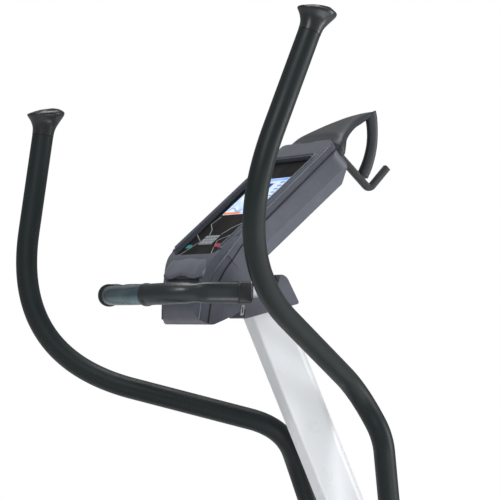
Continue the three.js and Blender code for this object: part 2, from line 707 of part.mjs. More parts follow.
function buildConsoleFace() {
  const panelShape = outline([[-126, -74, 8], [126, -83, 14], [126, 83, 14], [-126, 74, 8]]);
  const blank = tilted(upright(panelShape, 3, 4).translate(0, 0, GAP));
  const screenAt = [31.5, 0, 97, 122];
  const keys = [
    ['keypad', -88, 0, 24, 54, SILVER_KEY],
    ['start_key', -104, 56, 9, 18, TEAL_KEY],
    ['stop_key', -104, -56, 9, 18, RED_KEY],
  ];
  const holes = keys.map(([, s, y, length, width]) => faceBlock(s, y, length + 1, width + 1, -2, 10));
  const [s, y, length, width] = screenAt;
  const window = faceBlock(s, y, length + 2 * GAP, width + 2 * GAP, -2, 10);
  add('console_panel', cut(blank, window, ...holes), GLOSS_PANEL);
  add('screen', faceBlock(s, y, length, width, GAP, 2.8), SCREEN_GLASS);
  keys.forEach(([name, ks, ky, keyLength, keyWidth, material]) => {
    add(name, faceBlock(ks, ky, keyLength, keyWidth, 2.1, 4.6), material);
  });
}

function buildHook() {
  const path = bentPath([[412, 0, 1494], [488, 0, 1421, 7], [525, 0, 1461]]);
  add('accessory_hook', sweep(circle(7.5), path, 14, 6), BLACK_PLASTIC);
}

// ---------------------------------------------------------------- fixed handlebar

// Corners of the right half of the bar, seen from above, from the cross tube inside the
// console round to the user's end. The fourth number is the rounded length of a corner.
const BAR_CORNERS = [
  [FIXED_BAR.crossX, 0, FIXED_BAR.z],
  [FIXED_BAR.crossX, -FIXED_BAR.halfWidth, FIXED_BAR.z, 24],
  [43, -FIXED_BAR.halfWidth, FIXED_BAR.z, 64],
  [11, -60, FIXED_BAR.z - 4, 34],
];
const ELBOW_END_X = 112;

function buildFixedHandlebar() {
  const [start, corner, bend, tip] = BAR_CORNERS;
  const mirrored = [tip, bend, corner].map(([x, y, z, reach]) => [x, -y, z, reach]);
  const loop = bentPath([
    [start[0], -GAP, start[2]], corner, bend, tip, ...mirrored, [start[0], GAP, start[2]],
  ]);
  add('fixed_handlebar', sweep(circle(FIXED_BAR.radius), loop, 80, 5), STEEL);

  const gripEnd = [0, 1, 2].map((i) => tip[i] * 0.85 + bend[i] * 0.15);
  SIDES.forEach(([name, side]) => {
    const flip = (points) => points.map(([x, y, z, reach]) => [x, -y * side, z, reach]);
    const elbowPath = bentPath(flip([
      [corner[0], -114, corner[2]], corner, [ELBOW_END_X, corner[1], corner[2]],
    ]));
    const elbow = sweep(annulus(20, FIXED_BAR.elbowBore), elbowPath, 8, 6);
    add(`handlebar_elbow_${name}`, elbow, BLACK_PLASTIC);
    const gripPath = bentPath(flip([
      [ELBOW_END_X - GAP, corner[1], corner[2]], bend, gripEnd,
    ]));
    const grip = sweep(annulus(FIXED_BAR.gripRadius, FIXED_BAR.gripBore), gripPath, 20, 6);
    add(`fixed_grip_${name}`, grip, GRIP_RUBBER);
  });

  const clampBlock = (slack) => box(
    [130, -20 - slack, FIXED_BAR.z - 20 - slack],
    [260, 20 + slack, FIXED_BAR.z + 20 + slack],
  );
  const clamp = cut(
    clampBlock(0),
    mastSolid(GAP, 200, 500),
    bar(FIXED_BAR.crossX, FIXED_BAR.z, -30, 30, FIXED_BAR.radius + 1, 20),
    box([223, -40, 1200], [300, 40, 1300]),
  );
  add('handlebar_clamp', clamp, FRAME_PAINT);
}

// ---------------------------------------------------------------- whole machine

buildFrame();
buildStabilisers();
buildMast();
SIDES.forEach(([name, side]) => {
  buildArm(name, side);
  buildPedalBar(name, side);
});
buildCranks();
buildDrive();
buildHousing();
buildConsoleShells();
buildConsoleFace();
buildHook();
buildFixedHandlebar();

export default group;
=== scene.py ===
"""The elliptical trainer's finished surfaces and materials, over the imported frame.

Lengths in the tables are millimetres; meshes are made in metres. +X is the way the
user faces, +Y is the user's left, +Z is up.
"""
import json
import math

import bmesh
import bpy
from mathutils import Matrix, Vector
from mathutils.bvhtree import BVHTree

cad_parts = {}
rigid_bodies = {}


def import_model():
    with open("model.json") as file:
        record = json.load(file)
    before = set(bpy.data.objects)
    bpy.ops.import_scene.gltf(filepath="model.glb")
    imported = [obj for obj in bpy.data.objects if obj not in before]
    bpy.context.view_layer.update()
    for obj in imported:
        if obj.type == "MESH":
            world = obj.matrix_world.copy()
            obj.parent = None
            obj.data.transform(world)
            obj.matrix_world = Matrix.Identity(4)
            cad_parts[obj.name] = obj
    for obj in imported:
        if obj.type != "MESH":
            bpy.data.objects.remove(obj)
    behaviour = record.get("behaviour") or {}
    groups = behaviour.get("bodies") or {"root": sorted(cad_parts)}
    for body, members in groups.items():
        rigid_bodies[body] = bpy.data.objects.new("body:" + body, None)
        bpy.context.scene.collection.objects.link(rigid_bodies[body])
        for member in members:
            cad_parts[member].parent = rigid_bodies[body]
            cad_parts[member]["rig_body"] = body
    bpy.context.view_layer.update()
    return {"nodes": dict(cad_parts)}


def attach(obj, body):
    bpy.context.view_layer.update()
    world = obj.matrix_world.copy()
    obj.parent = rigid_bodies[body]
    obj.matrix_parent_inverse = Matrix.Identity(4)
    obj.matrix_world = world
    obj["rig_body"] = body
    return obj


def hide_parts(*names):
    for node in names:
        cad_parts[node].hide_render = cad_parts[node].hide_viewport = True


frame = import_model()
NODES = frame["nodes"]
MM = 0.001
SIDES = (("right", -1), ("left", 1))
UPWARD = Vector((0, 0, 1))
LEFTWARD = Vector((0, 1, 0))

# ------------------------------------------------------------------ shader tools


class Signal:
    """A shader socket that can be reckoned with like a number."""

    def __init__(self, finish, socket):
        self.finish = finish
        self.socket = socket

    def maths(self, operation, *values):
        return self.finish.node("ShaderNodeMath", {"operation": operation}, dict(enumerate(values)))

    def __add__(self, other):
        return self.maths("ADD", self, other)

    def __sub__(self, other):
        return self.maths("SUBTRACT", self, other)

    def __rsub__(self, other):
        return self.maths("SUBTRACT", other, self)

    def __mul__(self, other):
        return self.maths("MULTIPLY", self, other)

    def __truediv__(self, other):
        return self.maths("DIVIDE", self, other)

    def __gt__(self, other):
        return self.maths("GREATER_THAN", self, other)

    def __lt__(self, other):
        return self.maths("LESS_THAN", self, other)

    def absolute(self):
        return self.maths("ABSOLUTE", self)

    def wave(self):
        return self.maths("SINE", self)

    def fraction(self):
        return self.maths("FRACT", self)

    def within(self, low, high):
        """1 where the signal lies between low and high, otherwise 0."""
        return (self > low) * (self < high)


class Finish:
    """A material with one Principled shader, built up from signals."""

    def __init__(self, name, slot, **settings):
        self.slot = slot
        self.material = bpy.data.materials.new(name)
        self.material.use_nodes = True
        self.tree = self.material.node_tree
        self.shader = self.tree.nodes["Principled BSDF"]
        for label, value in settings.items():
            self.shader.inputs[label.replace("_", " ")].default_value = value
        self.place = self.node("ShaderNodeTexCoord", output="Object")

    def node(self, kind, settings=None, inputs=None, output=0):
        """Adds a node; its settings come first, then the values or links of its sockets."""
        made = self.tree.nodes.new(kind)
        for label, value in (settings or {}).items():
            setattr(made, label, value)
        for label, value in (inputs or {}).items():
            if isinstance(value, Signal):
                self.tree.links.new(value.socket, made.inputs[label])
            else:
                made.inputs[label].default_value = value
        return Signal(self, made.outputs[output])

    def feed(self, label, signal):
        self.tree.links.new(signal.socket, self.shader.inputs[label])
        return self

    def noise(self, size, detail=2.0, stretch=(1, 1, 1)):
        """Noise from 0 to 1 whose spots are about size millimetres across."""
        vector = self.node("ShaderNodeVectorMath", {"operation": "MULTIPLY"}, {0: self.place, 1: stretch})
        return self.node("ShaderNodeTexNoise", {}, {"Vector": vector, "Scale": 1000 / size, "Detail": detail})

    def ramp(self, signal, low, high, start=0.0, end=1.0):
        """Runs from start to end while the signal goes from low to high."""
        return self.node("ShaderNodeMapRange", {}, {0: signal, 1: low, 2: high, 3: start, 4: end})

    def blend(self, factor, first, second):
        return self.node("ShaderNodeMix", {"data_type": "RGBA"}, {0: factor, 6: first, 7: second}, 2)

    def relief(self, height, depth, strength=1.0):
        """Raises the surface by height, of depth millimetres at most."""
        inputs = {"Strength": strength, "Distance": depth * MM, "Height": height}
        return self.feed("Normal", self.node("ShaderNodeBump", {}, inputs))


def colour(red, green, blue):
    """A colour given as screen values from 0 to 255."""
    def linear(value):
        value /= 255
        return value / 12.92 if value <= 0.04045 else ((value + 0.055) / 1.055) ** 2.4
    return (linear(red), linear(green), linear(blue), 1.0)


def shade(tone, factor):
    return tuple(value * factor for value in tone[:3]) + (1.0,)


def moulded(name, slot, tone, roughness, grain=0.7, depth=0.05, **settings):
    """Injection-moulded plastic: a spark-eroded grain, faint clouding and polished spots."""
    finish = Finish(name, slot, **settings)
    cloud = finish.noise(38, 3.0)
    finish.feed("Base Color", finish.blend(finish.ramp(cloud, 0.3, 0.7), shade(tone, 0.9), shade(tone, 1.08)))
    handling = finish.noise(90, 4.0)
    finish.feed("Roughness", finish.ramp(handling, 0.3, 0.7, roughness - 0.05, roughness + 0.07))
    return finish.relief(finish.noise(grain, 2.0) + finish.noise(grain * 3, 1.0) * 0.5, depth, 0.55)


def painted(name, slot, tone, roughness, **settings):
    """Powder-coated steel: a soft orange peel and slight dust in the coat."""
    finish = Finish(name, slot, **settings)
    specks = finish.ramp(finish.noise(1.1, 1.0), 0.66, 0.74)
    finish.feed("Base Color", finish.blend(specks * 0.35, tone, shade(tone, 1.5)))
    finish.feed("Roughness", finish.ramp(finish.noise(60, 4.0), 0.3, 0.7, roughness - 0.04, roughness + 0.08))
    return finish.relief(finish.noise(3.2, 1.0), 0.05, 0.5)


def turned_metal(name, slot, tone, roughness, **settings):
    """Bare machined metal: fine tool marks and uneven sheen."""
    finish = Finish(name, slot, Metallic=1.0, **settings)
    marks = finish.noise(0.8, 3.0, (0.2, 4.0, 0.2))
    smudge = finish.noise(30, 4.0)
    finish.feed("Base Color", finish.blend(finish.ramp(smudge, 0.35, 0.7), tone, shade(tone, 0.75)))
    finish.feed("Roughness", finish.ramp(marks, 0.3, 0.7, roughness - 0.07, roughness + 0.1))
    return finish.relief(marks, 0.02, 0.5)


def soft_rubber(name, slot, tone, roughness, **settings):
    """Smooth dipped rubber: a fine skin with pores, faintly patchy where hands rub it."""
    finish = Finish(name, slot, **settings)
    rubbed = finish.ramp(finish.noise(120, 3.0), 0.35, 0.7)
    finish.feed("Base Color", finish.blend(rubbed, shade(tone, 0.88), shade(tone, 1.15)))
    finish.feed("Roughness", finish.ramp(finish.noise(45, 4.0), 0.3, 0.7, roughness + 0.06, roughness - 0.05))
    return finish.relief(finish.noise(0.9, 2.0) + finish.noise(4, 1.0) * 0.6, 0.05, 0.45)


# ------------------------------------------------------------------ console axes

SLOPE = math.radians(41)
CONSOLE_MIDDLE = Vector((240.5, 0, 1381))
UP_SLOPE = Vector((math.cos(SLOPE), 0, math.sin(SLOPE)))
OUT_OF_FACE = Vector((-math.sin(SLOPE), 0, math.cos(SLOPE)))


def on_face(s, y, n):
    """A point on the console: s up its slope, y to the user's left, n out of its face."""
    return CONSOLE_MIDDLE + UP_SLOPE * s + Vector((0, y, 0)) + OUT_OF_FACE * n


def face_coordinates(finish):
    """Signals for s and y on the console's face, in millimetres."""
    apart = finish.node("ShaderNodeSeparateXYZ", {}, {0: finish.place})
    x, y, z = [Signal(finish, apart.socket.node.outputs[axis]) for axis in "XYZ"]
    along = (x - CONSOLE_MIDDLE.x * MM) * (UP_SLOPE.x / MM) + (z - CONSOLE_MIDDLE.z * MM) * (UP_SLOPE.z / MM)
    return along, y * (1 / MM)


# ------------------------------------------------------------------ finishes

FRAME_PAINT = painted("frame_powder_coat", "frame_paint", colour(52, 56, 60), 0.42, Coat_Weight=0.15)
MAST_PAINT = painted("mast_silver_coat", "mast_paint", colour(236, 239, 243), 0.28)
SLEEVE = soft_rubber("arm_sleeve_rubber", "sleeve_rubber", colour(22, 31, 33), 0.46, Specular_IOR_Level=0.32)
GRIP = soft_rubber("bar_grip_rubber", "grip_rubber", colour(30, 38, 41), 0.34, Coat_Weight=0.1)
CONSOLE_GREY = moulded("console_slate_plastic", "console_plastic", colour(86, 89, 100), 0.42)
# A lighter copy of the console plastic: painted light on the lip and a painted highlight along the flank
# ridge.
LIT_CONSOLE_GREY = moulded("console_plastic_painted_lit", "console_plastic", colour(96, 101, 112), 0.34)
# Painted shade: a dark copy of the console plastic for the shaded recess under the lip.
RECESS_SHADE = moulded("recess_painted_shade", "console_plastic", colour(30, 34, 40), 0.5)
HOOD_GREY = moulded("hood_slate_plastic", "hood_plastic", colour(42, 46, 52), 0.42, Specular_IOR_Level=0.4)
CAP_BLACK = moulded("cap_black_plastic", "black_plastic", colour(30, 34, 37), 0.3, depth=0.03)
TRIM_BLACK = moulded("trim_black_plastic", "black_plastic", colour(34, 37, 40), 0.42)
PEDAL_PLASTIC = moulded("pedal_black_plastic", "black_plastic", colour(38, 41, 44), 0.5, depth=0.08)
HOUSING = moulded("housing_charcoal_plastic", "housing_plastic", colour(56, 60, 66), 0.5, grain=0.9)
STEEL = turned_metal("turned_steel", "steel", (0.55, 0.56, 0.57, 1), 0.3)
BLUED_BAR = turned_metal("bar_blued_steel", "steel", colour(104, 126, 134), 0.28)
BRONZE = turned_metal("sintered_bronze", "bronze", (0.42, 0.27, 0.12, 1), 0.38)
IRON = turned_metal("cast_iron", "cast_iron", (0.16, 0.16, 0.17, 1), 0.5)
BELT = soft_rubber("belt_rubber", "belt_rubber", colour(22, 22, 22), 0.7)
TREAD = soft_rubber("wheel_rubber", "black_plastic", colour(28, 29, 30), 0.6)
SILVER_TRIM = painted("silver_trim", "silver_key", colour(176, 182, 186), 0.3, Metallic=0.5)
TEAL = moulded("teal_key_plastic", "teal_key", colour(24, 134, 140), 0.36)
RED = moulded("red_key_plastic", "red_key", colour(186, 30, 48), 0.36)
# Painted shade: a near-black for the seams, the groove round the panel, the slots and the vent openings.
GAP_SHADE = moulded("seam_shadow", "black_plastic", colour(16, 17, 19), 0.7)


def panel_finish():
    """Polished black overlay with a fine metal flake."""
    finish = Finish("panel_polished_black", "gloss_panel", Specular_IOR_Level=0.05)
    flake = finish.ramp(finish.noise(1.3, 2.0), 0.58, 0.72)
    finish.feed("Base Color", finish.blend(flake * 0.5, colour(8, 8, 10), colour(50, 51, 54)))
    finish.feed("Roughness", finish.ramp(finish.noise(50, 3.0), 0.3, 0.7, 0.3, 0.42))
    return finish.relief(finish.noise(9, 1.0), 0.03, 0.3)


def keypad_finish():
    """A silver membrane with a grid of small raised keys, the grooves between them painted darker as shade.
    """
    finish = Finish("keypad_silver_membrane", "silver_key", Metallic=0.3)
    along, across = face_coordinates(finish)
    row = ((along / 6.0).fraction() - 0.5).absolute() > 0.38
    column = ((across / 6.75).fraction() - 0.5).absolute() > 0.4
    groove = finish.ramp(row + column, 0.0, 1.0)
    # The grooves are painted darker: painted shade in the creases between keys.
    finish.feed("Base Color", finish.blend(groove, colour(168, 174, 178), colour(98, 103, 108)))
    finish.feed("Roughness", finish.ramp(finish.noise(8, 2.0), 0.3, 0.7, 0.3, 0.42))
    return finish.relief(1 - groove, 0.4, 0.8)


def display_finish():
    """A lit display with plain blocks and bars and no lettering."""
    finish = Finish("display_lit", "screen_glass", Roughness=0.3, Specular_IOR_Level=0.2,
                    Emission_Strength=1.0)
    along, across = face_coordinates(finish)
    cloud = finish.ramp(finish.noise(26, 3.0), 0.35, 0.65)
    picture = finish.blend(cloud, colour(170, 196, 238), colour(222, 236, 250))
    bars = (along / 9.0).fraction().within(0.22, 0.62) * across.within(-56, -40)
    picture = finish.blend(bars * 0.8, picture, colour(70, 104, 176))
    ticks = (across / 5.0).fraction().within(0.1, 0.55) * (along / 6.0).fraction().within(0.2, 0.5)
    picture = finish.blend(ticks * across.within(-36, -22) * 0.55, picture, colour(94, 128, 190))
    block = along.within(22, 66) * across.within(-18, 24)
    picture = finish.blend(block, picture, colour(22, 34, 128))
    header = along.within(72, 79) * across.within(-60, 60)
    picture = finish.blend(header * 0.7, picture, colour(120, 160, 222))
    strip = along.within(-16, -10) * across.within(-4, 59)
    picture = finish.blend(strip, picture, colour(236, 132, 62))
    graph = (along + 8 + (across / 9.0).wave() * 5).within(2, 6) * across.within(-18, 56)
    picture = finish.blend(graph * 0.7, picture, colour(88, 132, 206))
    finish.feed("Base Color", finish.blend(0.75, picture, (0, 0, 0, 1)))
    return finish.feed("Emission Color", picture)


def board_finish():
    """Green solder mask with copper tracks and pads."""
    finish = Finish("board_solder_mask", "board_green", Roughness=0.35, Coat_Weight=0.4)
    along, across = face_coordinates(finish)
    tracks = ((along / 4.0).fraction() > 0.8) * ((across / 17.0).fraction() > 0.3)
    finish.feed("Base Color", finish.blend(tracks, colour(28, 84, 48), colour(60, 124, 74)))
    return finish.relief(tracks, 0.1)


PANEL = panel_finish()
KEYPAD = keypad_finish()
DISPLAY = display_finish()
BOARD = board_finish()

# ------------------------------------------------------------------ mesh tools


def piece(name, bm, finish, body, *replaced, smooth=35):
    """Turns a mesh in millimetres into a finished piece that rides on a body."""
    bmesh.ops.remove_doubles(bm, verts=bm.verts, dist=1e-4)
    bmesh.ops.recalc_face_normals(bm, faces=bm.faces)
    mesh = bpy.data.meshes.new(name)
    bm.to_mesh(mesh)
    bm.free()
    mesh.transform(Matrix.Scale(MM, 4))
    mesh.shade_smooth()
    mesh.set_sharp_from_angle(angle=math.radians(smooth))
    mesh.materials.append(finish.material)
    obj = bpy.data.objects.new(name, mesh)
    bpy.context.collection.objects.link(obj)
    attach(obj, body)
    if replaced:
        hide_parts(*replaced)
    return obj


EASED_ANGLE = 32


def ease_edges(bm, angle, width, segments):
    """Rounds over the edges where two faces meet more sharply than an angle in degrees."""
    limit = math.radians(angle)
    sharp = [e for e in bm.edges if len(e.link_faces) == 2 and e.calc_face_angle(0) > limit]
    bmesh.ops.bevel(bm, geom=sharp, offset=width, segments=segments, profile=0.5, affect="EDGES",
                    clamp_overlap=True)


def eased(node, finish, width):
    """The CAD solid with flat faces merged and its sharp edges rounded over."""
    bm = bmesh.new()
    bm.from_mesh(NODES[node].data)
    bmesh.ops.transform(bm, matrix=Matrix.Scale(1 / MM, 4), verts=bm.verts)
    bmesh.ops.remove_doubles(bm, verts=bm.verts, dist=0.01)
    bmesh.ops.dissolve_limit(bm, angle_limit=math.radians(0.6), verts=bm.verts, edges=bm.edges)
    ease_edges(bm, EASED_ANGLE, width, 3)
    bmesh.ops.triangulate(bm, faces=[f for f in bm.faces if len(f.verts) > 4])
    made = piece(f"{node}_finished", bm, finish, NODES[node]["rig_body"], node, smooth=EASED_ANGLE)
    normals = made.modifiers.new("even_faces", "WEIGHTED_NORMAL")
    normals.keep_sharp = True


def bent_path(corners, spacing=4.0):
    """Points along straight runs whose corners are rounded over the given lengths."""
    points = [Vector(corner[:3]) for corner in corners]
    route = [points[0]]
    for i in range(1, len(points) - 1):
        reach = corners[i][3]
        start = points[i] + (points[i - 1] - points[i]).normalized() * reach
        end = points[i] + (points[i + 1] - points[i]).normalized() * reach
        count = max(4, int(reach * 2 / spacing))
        route.append(start)
        for k in range(1, count + 1):
            t = k / count
            route.append(start * (1 - t) ** 2 + points[i] * 2 * t * (1 - t) + end * t ** 2)
    route.append(points[-1])
    even = [route[0]]
    for a, b in zip(route, route[1:]):
        steps = max(1, round((b - a).length / spacing))
        even += [a.lerp(b, k / steps) for k in range(1, steps + 1)]
    return even


def loft(bm, rings):
    """Skins rings of points that all have the same number of corners, and closes both ends."""
    rows = [[bm.verts.new(point) for point in ring] for ring in rings]
    count = len(rows[0])
    for lower, upper in zip(rows, rows[1:]):
        for i in range(count):
            k = (i + 1) % count
            bm.faces.new((lower[i], lower[k], upper[k], upper[i]))
    bm.faces.new(rows[0][::-1])
    bm.faces.new(rows[-1])


def section_frames(route, up):
    """For each point of a route: the point, a sideways axis and an upward axis."""
    frames = []
    for i, point in enumerate(route):
        along = (route[min(i + 1, len(route) - 1)] - route[max(i - 1, 0)]).normalized()
        sideways = along.cross(up).normalized()
        frames.append((point, sideways, sideways.cross(along)))
    return frames


def rounded_section(width, height, squareness, count):
    """Points round a section that is an ellipse at squareness 2 and a box far above it."""
    ring = []
    for i in range(count):
        angle = 2 * math.pi * i / count
        c, s = math.cos(angle), math.sin(angle)
        reach = (abs(c) ** squareness + abs(s) ** squareness) ** (-1 / squareness)
        ring.append((width * c * reach, height * s * reach))
    return ring


def sweep(bm, route, section_at, up=UPWARD, count=40):
    """Sweeps a section whose size and shape depend on how far along it is, from 0 to 1."""
    lengths = [0.0]
    for a, b in zip(route, route[1:]):
        lengths.append(lengths[-1] + (b - a).length)
    rings = []
    for (point, sideways, upward), run in zip(section_frames(route, up), lengths):
        width, height, squareness = section_at(run / lengths[-1])
        ring = rounded_section(width, height, squareness, count)
        rings.append([point + sideways * u + upward * v for u, v in ring])
    loft(bm, rings)


def steady(width, height=None, squareness=2.0):
    """A section that stays the same all along a sweep; round if only a width is given."""
    return lambda run: (width, height or width, squareness)


def swept(name, route, section_at, finish, *replaced, up=UPWARD, count=40, smooth=50):
    """A sweep as a finished piece of the frame."""
    bm = bmesh.new()
    sweep(bm, route, section_at, up, count)
    piece(name, bm, finish, "frame", *replaced, smooth=smooth)


def on_side(corners, side):
    """Corners of a path drawn for the user's left, taken to one side."""
    return [(x, y * side, z, *reach) for x, y, z, *reach in corners]


# ------------------------------------------------------------------ swinging arms

PIVOT = Vector((650, 0, 660))
ARM_Y = 88
# A left arm's path from the pivot: the grip, the wide bend, the inner bend and the tube's top.
ARM_CORNERS = ((-557, 283, 937), (-664, 291, 552, 225), (-261, 50, 374, 62), (-224, ARM_Y, 299, 28))
TUBE_TILT = math.radians(13.2)
SLEEVE_END_Z = 150.3
SLEEVE_RADIUS = 18.95
ARM_LEAN = {"right": math.radians(7.19637), "left": math.radians(-7.34822)}
# The end cap's half width against height above the grip's end.
CAP_PROFILE = (
    (18.8, 0.3), (18.9, 4), (19.2, 8), (20.2, 13), (22.2, 18), (25.0, 23), (28.4, 28.5), (31.4, 33),
    (33.2, 36.2), (33.8, 38.4), (33.4, 40.2), (31.6, 41.9), (27.0, 44.2), (20.0, 46.6), (10.0, 48.6),
)
CAP_FLATNESS = 0.72
CAP_FLARE_FROM = 26
CAP_SLANT = 0.3


def cap_rings():
    """The flared cap: round where it meets the grip, flatter and slanted at its crown."""
    crown = CAP_PROFILE[-1][1]
    rings = []
    for radius, height in CAP_PROFILE:
        depth = radius * CAP_FLATNESS if radius > CAP_FLARE_FROM else min(radius, 18.9)
        lean = CAP_SLANT * (height / crown) ** 2
        section = rounded_section(radius, depth, 2.2, 64)
        rings.append([Vector((u, v, height + u * lean)) for u, v in section])
    return rings


def make_arm(side_name, side):
    """The rubber sleeve and the end cap of one arm, drawn upright and leaned as at rest."""
    last = ARM_CORNERS[-1]
    foot_x = last[0] + (last[2] - SLEEVE_END_Z) * math.tan(TUBE_TILT)
    corners = on_side([*ARM_CORNERS, (foot_x, ARM_Y, SLEEVE_END_Z)], side)
    place = Matrix.Translation(PIVOT) @ Matrix.Rotation(ARM_LEAN[side_name], 4, "Y")
    body = f"arm_{side_name}"

    bm = bmesh.new()
    sweep(bm, bent_path(corners, 5.0), steady(SLEEVE_RADIUS), Vector((1, 0, 0.2)), 56)
    bmesh.ops.transform(bm, matrix=place, verts=bm.verts)
    piece(f"arm_sleeve_{side_name}", bm, SLEEVE, body, f"handlebar_sleeve_{side_name}", smooth=50)

    top = Vector(corners[0])
    along_grip = (top - Vector(corners[1][:3])).normalized()
    turn = UPWARD.rotation_difference(along_grip).to_matrix().to_4x4()
    cap_place = place @ Matrix.Translation(top + along_grip * 0.3) @ turn
    bm = bmesh.new()
    loft(bm, cap_rings())
    bmesh.ops.transform(bm, matrix=cap_place, verts=bm.verts)
    piece(f"arm_end_cap_{side_name}", bm, CAP_BLACK, body, f"handlebar_cap_{side_name}", smooth=40)


# ------------------------------------------------------------------ hood, rib and hook

# Stations of the hood: distance up the console's slope, height of its middle out of
# the face, half width and half thickness.
HOOD_STATIONS = (
    (164, -15, 99, 22), (172, -12.5, 99.5, 22.5), (178, -10.5, 97.5, 20.5), (186, -8, 93, 17.5),
    (197, -5.5, 85, 15), (209, -6, 76, 13), (222, -8, 65, 12), (237, -11, 51, 11.5),
    (252, -15, 37.5, 11), (268, -20, 25, 10.5), (284, -25.5, 14.5, 8.5), (297, -30, 7.5, 6),
    (311, -34.5, 2, 1.6),
)
# The rib's outer and inner edges in X and Z, from the hood's point down to the hook.
RIB_EDGES = (
    ((501, 1562), (481, 1549)), ((503.5, 1549), (484, 1536)), ((504.5, 1530), (485.5, 1520)),
    ((504, 1509), (484.5, 1502)), ((501.5, 1490), (481, 1486)), ((497, 1472), (476, 1471)),
    ((491, 1455), (470.5, 1459)), ((483.5, 1440), (466.5, 1450)),
)
RIB_STEPS = 48


def smooth_stations(stations, count):
    """More stations on a smooth curve through the given ones."""
    made = []
    last = len(stations) - 1
    for step in range(count):
        place = step * last / (count - 1)
        i = min(int(place), last - 1)
        t = place - i
        p0, p1, p2, p3 = [stations[min(max(i + k, 0), last)] for k in (-1, 0, 1, 2)]
        made.append([
            0.5 * (2 * b + (c - a) * t + (2 * a - 5 * b + 4 * c - d) * t * t
                   + (3 * b - a - 3 * c + d) * t ** 3)
            for a, b, c, d in zip(p0, p1, p2, p3)
        ])
    return made


def make_hood():
    """The beak that runs out from the console's top edge, and the curved rib under its point."""
    bm = bmesh.new()
    rings = []
    for s, middle, half_width, half_height in smooth_stations(HOOD_STATIONS, 64):
        section = rounded_section(half_width, half_height, 2.7, 96)
        rings.append([on_face(s - 0.12 * v, u, middle + v) for u, v in section])
    loft(bm, rings)
    piece("hood_beak", bm, HOOD_GREY, "frame", "console_hood", smooth=50)

    bm = bmesh.new()
    rings = []
    edges = smooth_stations([(*outer, *inner) for outer, inner in RIB_EDGES], RIB_STEPS)
    for i, (ox, oz, ix, iz) in enumerate(edges):
        outer, inner = Vector((ox, 0, oz)), Vector((ix, 0, iz))
        middle, reach = (outer + inner) / 2, (outer - inner) / 2
        half_width = 6.5 + 2.3 * i / (RIB_STEPS - 1)
        section = rounded_section(1, half_width, 3.0, 36)
        rings.append([middle + reach * u + Vector((0, v, 0)) for u, v in section])
    loft(bm, rings)
    piece("hood_rib", bm, HOOD_GREY, "frame", smooth=50)


HOOK_ROUTE = ((412.5, 0, 1493.5), (488, 0, 1421, 9), (524.6, 0, 1460.4))


def make_hook():
    swept("towel_hook", bent_path(HOOK_ROUTE, 2.5), steady(6.3, squareness=4.2), TRIM_BLACK,
          "accessory_hook", up=LEFTWARD, count=32, smooth=45)


# ------------------------------------------------------------------ fixed handlebar

BAR_Z = 1234
BAR_Y = 150
CROSS_X = 152
# A left half of the bar: the corner beside the console, the wide bend and the user's end.
BAR_CORNERS = ((CROSS_X, BAR_Y, BAR_Z, 24), (43, BAR_Y, BAR_Z, 64), (11, 60, BAR_Z - 4, 34))
COLLAR_X = (172, 143)
SLEEVE_Y = (112, 138)


def eased_step(value, start, length):
    """Goes smoothly from 0 to 1 as the value goes from start over a length."""
    t = min(max((value - start) / length, 0), 1)
    return t * t * (3 - 2 * t)


def bare_section(run):
    """The steel tube, fuller across the bare bend between the grips."""
    radius = 12.9 + 3.7 * eased_step(0.2 - abs(run - 0.5), 0, 0.04)
    return (radius, radius, 2.0)


def grip_section(run):
    """Squared and flat-topped near the console, round past the bend, with a ring at its end."""
    roundness = eased_step(run, 0.34, 0.16)
    waist = 1 - 0.12 * math.exp(-((run - 0.42) / 0.06) ** 2)
    ring = 1.5 * math.exp(-((run - 0.975) / 0.03) ** 4)
    half = (17.9 + 0.2 * roundness + ring) * waist
    return (half, half, 4.6 - 2.5 * roundness)


def collar_section(run):
    """A squared collar, bevelled at its flat outer end and necked where the grip begins."""
    bevel = 3.4 * max(1 - run / 0.16, 0)
    neck = 2.2 * max(1 - (1 - run) / 0.1, 0)
    half = 19.0 - bevel - neck
    return (half, half, 6.0)


def straight(start, end, steps):
    return [Vector(start).lerp(Vector(end), i / steps) for i in range(steps + 1)]


def make_fixed_bar():
    """The loop of steel tube with its two grips and the collars beside the console."""
    corner, bend, tip = BAR_CORNERS
    right = on_side(BAR_CORNERS, -1)
    loop = [(CROSS_X, -0.3, BAR_Z), *right, tip, bend, corner, (CROSS_X, 0.3, BAR_Z)]
    swept("fixed_bar_tube", bent_path(loop, 3.0), bare_section, BLUED_BAR, "fixed_handlebar")

    grip_end = [tip[i] * 0.85 + bend[i] * 0.15 for i in range(3)]
    for side_name, side in SIDES:
        route = bent_path(on_side([(COLLAR_X[1], BAR_Y, BAR_Z), bend, grip_end], side), 2.5)
        swept(f"bar_grip_{side_name}", route, grip_section, GRIP, f"fixed_grip_{side_name}", count=56)

        bm = bmesh.new()
        collar = straight(*[(x, BAR_Y * side, BAR_Z) for x in COLLAR_X], 24)
        sweep(bm, collar, collar_section, count=56)
        sleeve = straight(*[(CROSS_X, y * side, BAR_Z) for y in SLEEVE_Y], 13)
        sweep(bm, sleeve, steady(16.2, squareness=2.2), count=48)
        piece(f"bar_elbow_{side_name}", bm, TRIM_BLACK, "frame", f"handlebar_elbow_{side_name}", smooth=40)


# ------------------------------------------------------------------ console details

# Silver lines on the panel's left half, as points (s, y).
PANEL_LINES = (
    ((-126, 68), (-123, 60), (-90, 33), (-71, 75)),
    ((-73, 23), (-58, 36), (-43, 63), (-22, 55)),
)
PANEL_TOP_N = 3.3
# The ridge round the panel's sides and top, as s, y and the rounded length of a corner.
BEZEL_CORNERS = ((-112, 91, 0), (133, 91, 14), (133, -91, 14), (-112, -91, 0))
BEZEL_N = 10


